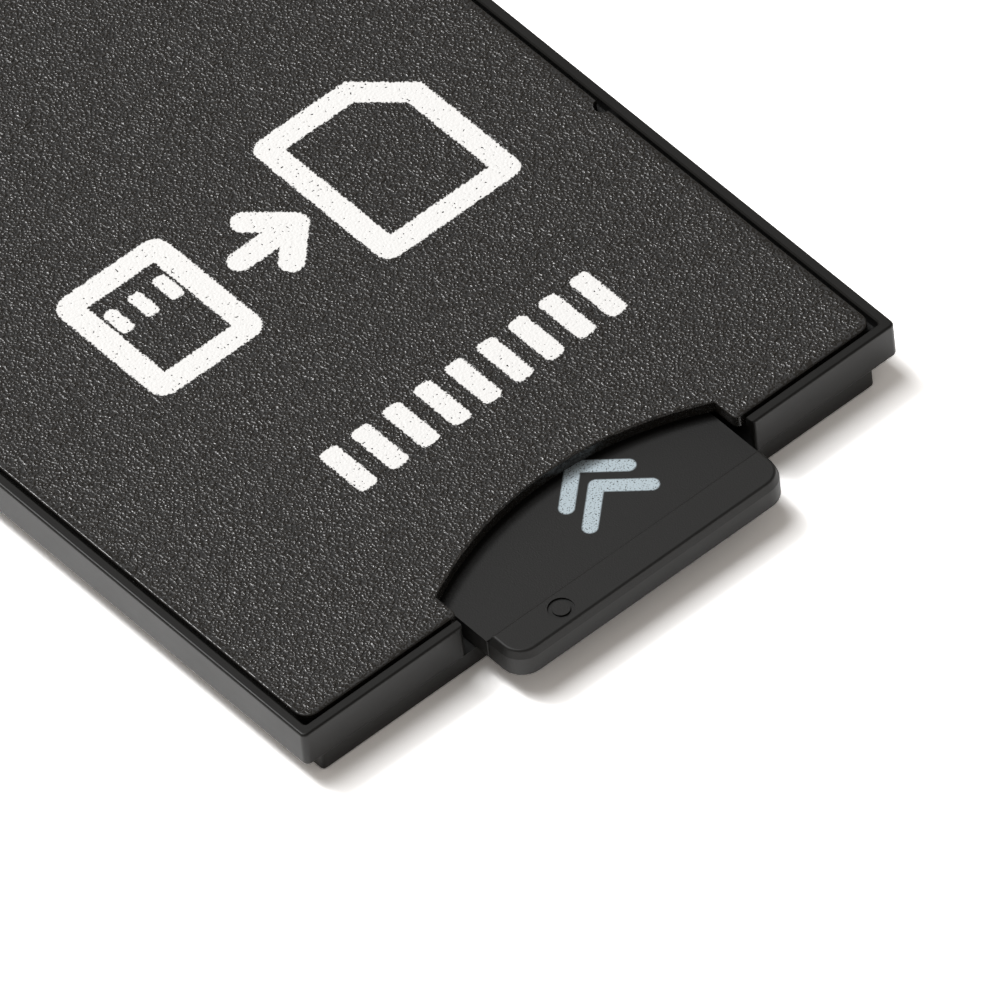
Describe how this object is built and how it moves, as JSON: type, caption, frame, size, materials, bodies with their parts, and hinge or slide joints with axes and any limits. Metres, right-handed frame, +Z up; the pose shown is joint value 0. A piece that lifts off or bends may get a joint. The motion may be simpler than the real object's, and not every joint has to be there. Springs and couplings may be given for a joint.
{
  "type": "memory card adapter",
  "caption": "Flat memory card adapter with a small card in its bay: grained cover with an arched finger cut-out, stepped back with contact windows, and a lock slider in its edge.",
  "frame": {"origin": "centre of the adapter's own footprint, on the surface that its back lies on; the small card sticks out past it at -Y", "axes": "+X to the right seen from the label side, +Y from the card slot towards the contact end, +Z up out of the label face"},
  "size_m": [0.024, 0.0341, 0.0021],
  "materials": {
    "shell_plastic": "smooth satin moulded black",
    "cover_plastic": "coarse spark-eroded grain, black",
    "lock_plastic": "smooth moulded black",
    "card_plastic": "fine matte moulding compound",
    "lead_gold": "gold-flashed stamped strip",
    "pad_gold": "gold-plated contact pad",
    "spring_steel": "bright rolled spring strip"
  },
  "bodies": {
    "adapter": {"base_shell": "shell_plastic", "top_cover": "cover_plastic", "lead_data2": "lead_gold", "lead_detect": "lead_gold", "lead_command": "lead_gold", "lead_power": "lead_gold", "lead_clock": "lead_gold", "lead_ground": "lead_gold", "lead_data0": "lead_gold", "lead_data1": "lead_gold", "latch_spring": "spring_steel"},
    "card": {"card_body": "card_plastic", "card_pad_1": "pad_gold", "card_pad_2": "pad_gold", "card_pad_3": "pad_gold", "card_pad_4": "pad_gold", "card_pad_5": "pad_gold", "card_pad_6": "pad_gold", "card_pad_7": "pad_gold", "card_pad_8": "pad_gold"},
    "lock": {"lock_slider": "lock_plastic"}
  },
  "joints": [
    {"name": "card_slide", "type": "slide", "parent": "adapter", "child": "card", "axis": [0, -1, 0], "range_m": [0, 0.013]},
    {"name": "lock_slide", "type": "slide", "parent": "adapter", "child": "lock", "axis": [0, -1, 0], "range_m": [0, 0.0023]}
  ]
}
